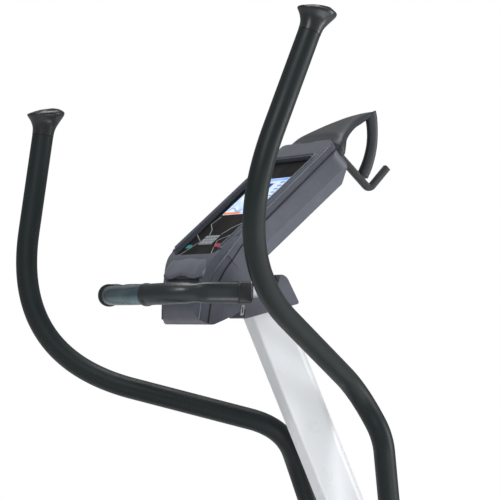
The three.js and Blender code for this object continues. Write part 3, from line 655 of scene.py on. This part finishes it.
def face_strip(bm, route, half_width, low, high):
    """A raised strip that follows points (s, y) on the console's face."""
    points = [Vector((s, y, 0)) for s, y in route]
    rings = []
    for i, point in enumerate(points):
        along = (points[min(i + 1, len(points) - 1)] - points[max(i - 1, 0)]).normalized()
        across = Vector((-along.y, along.x, 0)) * half_width
        corners = ((across, low), (across * 0.7, high), (-across * 0.7, high), (-across, low))
        rings.append([on_face((point + o).x, (point + o).y, n) for o, n in corners])
    loft(bm, rings)


def rounded_frame(half_length, half_width, corner):
    """Points (s, y) round a frame with rounded corners."""
    points = []
    for quarter, (sign_s, sign_y) in enumerate(((1, 1), (-1, 1), (-1, -1), (1, -1))):
        for k in range(9):
            angle = math.pi / 2 * (quarter + k / 8)
            points.append((
                sign_s * (half_length - corner) + corner * math.cos(angle),
                sign_y * (half_width - corner) + corner * math.sin(angle),
            ))
    return points


def closed_bead(bm, route, radius, count=16):
    """A round bead along a closed route."""
    rows = []
    total = len(route)
    for i, point in enumerate(route):
        along = (route[(i + 1) % total] - route[i - 1]).normalized()
        sideways = along.cross(OUT_OF_FACE).normalized()
        upward = sideways.cross(along)
        ring = rounded_section(radius, radius, 2.0, count)
        rows.append([bm.verts.new(point + sideways * u + upward * v) for u, v in ring])
    for lower, upper in zip(rows, rows[1:] + rows[:1]):
        for i in range(count):
            k = (i + 1) % count
            bm.faces.new((lower[i], lower[k], upper[k], upper[i]))


def make_console_trim():
    """Silver lines on the panel, the ridge round it and a dark strip of painted shade in the groove at its
    edge.
    """
    bm = bmesh.new()
    for route in PANEL_LINES:
        for _, side in SIDES:
            face_strip(bm, [(s, y * side) for s, y in route], 0.95, PANEL_TOP_N - 0.2, PANEL_TOP_N + 0.5)
    piece("panel_silver_lines", bm, SILVER_TRIM, "frame")

    ridge = bent_path([(*on_face(s, y, BEZEL_N), reach) for s, y, reach in BEZEL_CORNERS], 3.0)
    swept("bezel_ridge", ridge, steady(2.3), CONSOLE_GREY, up=OUT_OF_FACE, count=12, smooth=60)

    bm = bmesh.new()
    closed_bead(bm, [on_face(s, y, 0.4) for s, y in rounded_frame(127.6, 84.6, 8)], 1.1)
    piece("panel_edge_shade", bm, GAP_SHADE, "frame", smooth=60)


# The joint between the console's shells on its flank, and the soft ridge beside it: X and Z.
SEAM_ROUTE = ((371, 1488), (187, 1322, 24), (147, 1266, 16), (131, 1226, 10), (126.5, 1183))
RIDGE_ROUTE = ((357, 1491), (174, 1326, 24), (134, 1270, 16), (119, 1226, 10), (115.5, 1186))
# The silver clip beside the seam, as corners in X and Z, and the ends of its slot.
CLIP_CORNERS = ((178, 1196), (184, 1196), (187, 1214), (181, 1214))
CLIP_SLOT = ((181.8, 1200), (183.2, 1210))
CLIP_Y = 104.6
CLIP_DEPTHS = (-0.9, 0.1)


def console_surface():
    """The console's two shells as one surface to lay lines on."""
    points, faces = [], []
    for node in ("console_front_shell", "console_rear_shell"):
        mesh = NODES[node].data
        first = len(points)
        points += [vertex.co / MM for vertex in mesh.vertices]
        faces += [[first + i for i in face.vertices] for face in mesh.polygons]
    return BVHTree.FromPolygons(points, faces)


def laid_on_flank(surface, route, side):
    """The route (X and Z) dropped sideways on to the console's flank, past the gap at the joint."""
    laid = []
    inwards = Vector((0, -side, 0))
    for point in bent_path([(x, 0, z, *reach) for x, z, *reach in route], 3.0):
        starts = [Vector((point.x + shift, 300 * side, point.z)) for shift in (-1.5, 1.5)]
        hits = [surface.ray_cast(start, inwards)[0] for start in starts]
        reached = [abs(hit.y) for hit in hits if hit]
        if reached:
            laid.append(Vector((point.x, max(reached) * side, point.z)))
    return laid


def make_seams():
    """The joint line and the clip's slot as dark strips of painted shade, the ridge in a lighter grey as a
    painted highlight, and the clip, on both flanks of the console.
    """
    surface = console_surface()
    for side_name, side in SIDES:
        swept(f"flank_seam_{side_name}", laid_on_flank(surface, SEAM_ROUTE, side), steady(1.3, 0.8),
              # The joint line is a dark strip of painted shade standing in for the shadow in the gap.
              GAP_SHADE, up=LEFTWARD, count=12, smooth=60)
        # The ridge is coloured a lighter grey as a painted highlight.
        swept(f"flank_ridge_{side_name}", laid_on_flank(surface, RIDGE_ROUTE, side), steady(1.6, 0.9),
              LIT_CONSOLE_GREY, up=LEFTWARD, count=12, smooth=60)

        faces = [(CLIP_Y + depth) * side for depth in CLIP_DEPTHS]
        bm = bmesh.new()
        loft(bm, [[Vector((x, y, z)) for x, z in CLIP_CORNERS] for y in faces])
        piece(f"flank_clip_{side_name}", bm, SILVER_TRIM, "frame")
        slot = [Vector((x, CLIP_Y * side, z)) for x, z in CLIP_SLOT]
        swept(f"flank_clip_slot_{side_name}", slot, steady(0.9, 0.5), GAP_SHADE,
              up=LEFTWARD, count=12, smooth=35)


# Down the front of the chin: X, Z and how far a sheet stands proud of the shell. First the lip below the
# panel, painted a lighter grey as lit, then a dark sheet of painted shade over the shaded recess under it.
LIP_PROFILE = ((150, 1304, -1.5), (142, 1298, 1.5), (133, 1290, 4), (127.5, 1281, 6), (124, 1272, 8),
               (122, 1266, 9), (121, 1262.5, 7), (123, 1260.5, 2), (126, 1260, -3))
RECESS_PROFILE = ((123.2, 1263, -2), (121.8, 1259.5, 0.7), (118.9, 1252, 0.8), (116.2, 1245, 0.7),
                  (114.7, 1241, 0.3), (114.2, 1239, -2))
CHIN_FRONT_X = 108
CHIN_FLAT_Y = 30
CHIN_CORNER = 74
PATCH_COLUMNS = 64
EDGE_FADE = 16


def chin_set_back(y):
    """How far the chin's front has moved back at a distance y from the middle."""
    beyond = min(max((abs(y) - CHIN_FLAT_Y) / CHIN_CORNER, 0), 1)
    t = 1 - math.sqrt(1 - beyond)
    return CHIN_CORNER * t * t


def chin_patch(name, profile, finish, half, wave_height):
    """A sheet across the chin that follows its rounded plan and dips towards the middle."""
    bm = bmesh.new()
    columns = []
    for i in range(PATCH_COLUMNS + 1):
        y = -half + 2 * half * i / PATCH_COLUMNS
        fade = min(1, (half - abs(y)) / EDGE_FADE) ** 0.6
        column = []
        for k, (x, z, proud) in enumerate(profile):
            wave = wave_height * math.cos(math.pi * y / 46) * k / (len(profile) - 1)
            out = proud * fade - 1.5 * (1 - fade)
            set_back = max(0, chin_set_back(y) - (x - CHIN_FRONT_X)) if k > 1 else 0
            column.append(bm.verts.new((x - out + set_back, y, z + wave - 2 * (1 - fade))))
        columns.append(column)
    for left, right in zip(columns, columns[1:]):
        for k in range(len(profile) - 1):
            bm.faces.new((left[k], left[k + 1], right[k + 1], right[k]))
    made = piece(name, bm, finish, "frame", smooth=60)
    soften = made.modifiers.new("smooth_sheet", "SUBSURF")
    soften.levels = soften.render_levels = 1


def finish_node(node, finish):
    """Gives a CAD solid its finish as it is."""
    materials = NODES[node].data.materials
    materials.clear()
    materials.append(finish.material)
    NODES[node].data.polygons.foreach_set("material_index", [0] * len(NODES[node].data.polygons))


# ------------------------------------------------------------------ repeated details


def repeating_tree(name, shape):
    """A row of small shapes: bars, or round heads. Sizes are inputs, in metres."""
    tree = bpy.data.node_groups.new(name, "GeometryNodeTree")
    for label, kind in (("Count", "Int"), ("Step", "Vector"), ("Size", "Vector"), ("Finish", "Material")):
        tree.interface.new_socket(label, in_out="INPUT", socket_type=f"NodeSocket{kind}")
    tree.interface.new_socket("Row", in_out="OUTPUT", socket_type="NodeSocketGeometry")
    given = tree.nodes.new("NodeGroupInput")
    row = tree.nodes.new("GeometryNodeMeshLine")
    row.mode = "OFFSET"
    if shape == "bar":
        unit = tree.nodes.new("GeometryNodeMeshCube")
    else:
        unit = tree.nodes.new("GeometryNodeMeshCylinder")
        unit.inputs["Vertices"].default_value = 28
        unit.inputs["Radius"].default_value = 0.5
        unit.inputs["Depth"].default_value = 1.0
    spread = tree.nodes.new("GeometryNodeInstanceOnPoints")
    real = tree.nodes.new("GeometryNodeRealizeInstances")
    coat = tree.nodes.new("GeometryNodeSetMaterial")
    result = tree.nodes.new("NodeGroupOutput")
    for source, outlet, target, inlet in (
        (given, "Count", row, "Count"), (given, "Step", row, "Offset"),
        (row, "Mesh", spread, "Points"), (unit, "Mesh", spread, "Instance"),
        (given, "Size", spread, "Scale"), (spread, "Instances", real, "Geometry"),
        (real, "Geometry", coat, "Geometry"), (given, "Finish", coat, "Material"),
        (coat, "Geometry", result, "Row"),
    ):
        tree.links.new(source.outputs[outlet], target.inputs[inlet])
    return tree


BAR_ROW = repeating_tree("row_of_bars", "bar")
HEAD_ROW = repeating_tree("row_of_heads", "head")


def repeated(name, tree, finish, body, count, step, size, place, ease=0.5):
    """A row made by a tree, its edges eased, moved to its place. Lengths in millimetres."""
    holder = bpy.data.objects.new(f"{name}_row", bpy.data.meshes.new(f"{name}_row"))
    bpy.context.collection.objects.link(holder)
    modifier = holder.modifiers.new("row", "NODES")
    modifier.node_group = tree
    labels = {item.name: item.identifier for item in tree.interface.items_tree if item.in_out == "INPUT"}
    modifier[labels["Count"]] = count
    modifier[labels["Step"]] = [value * MM for value in step]
    modifier[labels["Size"]] = [value * MM for value in size]
    modifier[labels["Finish"]] = finish.material
    evaluated = holder.evaluated_get(bpy.context.evaluated_depsgraph_get())
    mesh = bpy.data.meshes.new_from_object(evaluated)
    bpy.data.objects.remove(holder)
    bm = bmesh.new()
    bm.from_mesh(mesh)
    bpy.data.meshes.remove(mesh)
    bmesh.ops.transform(bm, matrix=Matrix.Scale(1 / MM, 4), verts=bm.verts)
    bmesh.ops.remove_doubles(bm, verts=bm.verts, dist=0.001)
    ease_edges(bm, 40, ease, 2)
    bmesh.ops.transform(bm, matrix=place, verts=bm.verts)
    piece(name, bm, finish, body, smooth=40)


# Where each pedal bar's front pin stands at rest in X and Z, and how the bar slopes.
LINK_PIN_PLACE = {"right": (550.29, 173.66), "left": (675.62, 164.21)}
BAR_SLOPE = {"right": math.radians(15.409), "left": math.radians(-0.699)}
TREAD_START = (-905, 40.2)
TREAD_RISE = math.atan2(27, 366)


def make_pedal_treads(side_name, side):
    """Anti-slip ribs across the pedal's floor."""
    x, z = LINK_PIN_PLACE[side_name]
    bar_place = Matrix.Translation((x, 0, z)) @ Matrix.Rotation(BAR_SLOPE[side_name], 4, "Y")
    floor_place = Matrix.Translation((TREAD_START[0], 147 * side, TREAD_START[1]))
    place = bar_place @ floor_place @ Matrix.Rotation(-TREAD_RISE, 4, "Y")
    repeated(f"pedal_ribs_{side_name}", BAR_ROW, PEDAL_PLASTIC, f"pedal_bar_{side_name}",
             19, (17.5, 0, 0), (7, 96, 2.6), place, 0.8)


HOUSING_Y = 58
VENT_X = -812
VENT_HEIGHTS = (330, 318, 306, 294)
# Rows of screw heads on the housing: first X, Z, how far apart and how many.
SCREW_ROWS = ((-870, 118, 181.5, 4), (-840, 378, 150, 2), (-420, 462, 60, 2))


def make_housing_details(side_name, side):
    """Vent slots, as thin dark bars of painted shade, and screw heads on the housing's side."""
    for row, z in enumerate(VENT_HEIGHTS):
        place = Matrix.Translation((VENT_X, HOUSING_Y * side, z))
        repeated(f"housing_vents_{side_name}_{row}", BAR_ROW, GAP_SHADE, "frame",
                 5, (26, 0, 0), (20, 0.7, 4.2), place, 0.25)
    turn = Matrix.Rotation(math.pi / 2, 4, "X")
    for row, (x, z, step, count) in enumerate(SCREW_ROWS):
        place = Matrix.Translation((x, HOUSING_Y * side, z)) @ turn
        repeated(f"housing_screws_{side_name}_{row}", HEAD_ROW, STEEL, "frame",
                 count, (step, 0, 0), (8, 8, 1.6), place, 0.5)


def make_keys():
    """Raised keys on the silver pad."""
    lift = Matrix.Translation(CONSOLE_MIDDLE) @ Matrix.Rotation(-SLOPE, 4, "Y")
    for row in range(3):
        place = lift @ Matrix.Translation((-95.6 + 7.6 * row, -21, 4.7))
        repeated(f"silver_keys_{row}", BAR_ROW, SILVER_TRIM, "keypad",
                 5, (0, 10.5, 0), (5.6, 8.4, 1.1), place, 0.4)


# ------------------------------------------------------------------ whole machine

# CAD solids whose edges are eased, with their finish and the width of the easing; the
# first table's names come in a right and a left.
EASED_PAIRS = (
    ("swing_arm", FRAME_PAINT, 1.5), ("pedal_bar", FRAME_PAINT, 2.5), ("pedal", PEDAL_PLASTIC, 2.0),
    ("link_pin", STEEL, 1.2), ("crank_arm", STEEL, 1.2), ("drive_housing", HOUSING, 1.2),
    ("front_foot_cap", CAP_BLACK, 1.5), ("rear_foot_cap", CAP_BLACK, 1.5), ("transport_wheel", TREAD, 1.5),
)
EASED_SINGLES = (
    ("base_frame", FRAME_PAINT, 1.5), ("front_stabiliser", FRAME_PAINT, 1.0),
    ("rear_stabiliser", FRAME_PAINT, 1.0), ("mast", MAST_PAINT, 1.5), ("mast_socket", FRAME_PAINT, 2.5),
    ("mast_cover", CONSOLE_GREY, 3.0), ("pivot_bracket", FRAME_PAINT, 1.5), ("pivot_axle", STEEL, 1.2),
    ("crank_axle", STEEL, 1.0), ("console_panel", PANEL, 0.5), ("keypad", KEYPAD, 0.6),
    ("start_key", TEAL, 0.6), ("stop_key", RED, 0.6), ("handlebar_clamp", FRAME_PAINT, 1.0),
    ("console_bracket", FRAME_PAINT, 1.0), ("magnet_yoke", STEEL, 1.0), ("flywheel", IRON, 1.2),
    ("drive_pulley", TRIM_BLACK, 0.8), ("console_front_shell", CONSOLE_GREY, 2.2),
    ("console_rear_shell", CONSOLE_GREY, 2.2),
)
# CAD solids that only take a finish.
PLAIN_PAIRS = (("handlebar_tube", STEEL), ("arm_bush", BRONZE), ("crank_bearing", STEEL))
PLAIN_SINGLES = (
    ("screen", DISPLAY), ("circuit_board", BOARD), ("drive_belt", BELT), ("flywheel_axle", STEEL),
)

for side_name, side in SIDES:
    make_arm(side_name, side)
    for node, finish, width in EASED_PAIRS:
        eased(f"{node}_{side_name}", finish, width)
    for node, finish in PLAIN_PAIRS:
        finish_node(f"{node}_{side_name}", finish)
for node, finish, width in EASED_SINGLES:
    eased(node, finish, width)
for node, finish in PLAIN_SINGLES:
    finish_node(node, finish)
make_hood()
make_hook()
make_fixed_bar()
make_console_trim()
make_seams()
# The lip is painted a lighter grey than the shell, as lit.
chin_patch("console_lip", LIP_PROFILE, LIT_CONSOLE_GREY, 78, 3.2)
# A dark sheet of painted shade under the lip.
chin_patch("console_recess_shade", RECESS_PROFILE, RECESS_SHADE, 76, 0)
make_keys()
for side_name, side in SIDES:
    make_pedal_treads(side_name, side)
    make_housing_details(side_name, side)

# ------------------------------------------------------------------ studio


FLOOR_RADIUS = 10.0


def make_floor():
    """A wide pale disc just under the machine's feet."""
    bm = bmesh.new()
    bmesh.ops.create_circle(bm, cap_ends=True, radius=FLOOR_RADIUS, segments=96,
                            matrix=Matrix.Translation((0, 0, -0.0005)))
    mesh = bpy.data.meshes.new("studio_floor")
    bm.to_mesh(mesh)
    bm.free()
    finish = Finish("studio_floor_paper", None, Roughness=0.8, Emission_Color=(1, 1, 1, 1),
                    Emission_Strength=0.22)
    cloud = finish.noise(400, 2.0)
    finish.feed("Base Color", finish.blend(cloud, (0.82, 0.82, 0.82, 1), (0.86, 0.86, 0.86, 1)))
    mesh.materials.append(finish.material)
    floor = bpy.data.objects.new("studio_floor", mesh)
    bpy.context.collection.objects.link(floor)


def add_softbox(name, place, target, size, power):
    data = bpy.data.lights.new(name, "AREA")
    data.shape = "RECTANGLE"
    data.size, data.size_y = size
    data.energy = power
    lamp = bpy.data.objects.new(name, data)
    lamp.location = place
    lamp.rotation_euler = (Vector(target) - Vector(place)).to_track_quat("-Z", "Y").to_euler()
    bpy.context.collection.objects.link(lamp)


ROOM_LIGHT = 0.34
# Each softbox: its place, what it faces, its two sides and its power.
SOFTBOXES = {
    "key_softbox": ((-2.2, -2.4, 3.6), (0.2, 0, 1.2), (1.4, 1.4), 52),
    "top_softbox": ((0.6, 0.4, 4.2), (0.2, 0, 1.0), (1.8, 1.8), 52),
    "right_strip": ((2.8, -1.6, 1.7), (0.3, 0, 1.3), (0.4, 2.2), 46),
    "low_fill": ((1.2, -2.6, 0.25), (0.3, 0, 1.4), (1.6, 0.6), 16),
}


def make_studio():
    """A room that looks white but lights softly, with four softboxes."""
    world = bpy.data.worlds.new("studio")
    world.use_nodes = True
    nodes, links = world.node_tree.nodes, world.node_tree.links
    background = nodes["Background"]
    background.inputs["Color"].default_value = (1, 1, 1, 1)
    seen = nodes.new("ShaderNodeLightPath")
    level = nodes.new("ShaderNodeMapRange")
    level.inputs["To Min"].default_value = ROOM_LIGHT
    level.inputs["To Max"].default_value = 1.0
    links.new(seen.outputs["Is Camera Ray"], level.inputs["Value"])
    links.new(level.outputs["Result"], background.inputs["Strength"])
    bpy.context.scene.world = world
    for name, (place, target, size, power) in SOFTBOXES.items():
        add_softbox(name, place, target, size, power)


AIM = Vector((0.25, 0, 1.31))
AZIMUTH = math.radians(-27)
ELEVATION = math.radians(-1.5)
DISTANCE = 4.5
LENS = 186.3
SENSOR = 36


def make_camera():
    """A long lens behind the user's right shoulder, a little below the level of the console."""
    level = math.cos(ELEVATION)
    back = Vector((math.sin(AZIMUTH) * level, -math.cos(AZIMUTH) * level, math.sin(ELEVATION)))
    data = bpy.data.cameras.new("studio_camera")
    data.lens = LENS
    data.sensor_width = SENSOR
    camera = bpy.data.objects.new("studio_camera", data)
    camera.location = AIM + back * DISTANCE
    camera.rotation_euler = (-back).to_track_quat("-Z", "Y").to_euler()
    bpy.context.collection.objects.link(camera)
    bpy.context.scene.camera = camera


make_floor()
make_studio()
make_camera()
bpy.context.scene.view_settings.view_transform = "Standard"
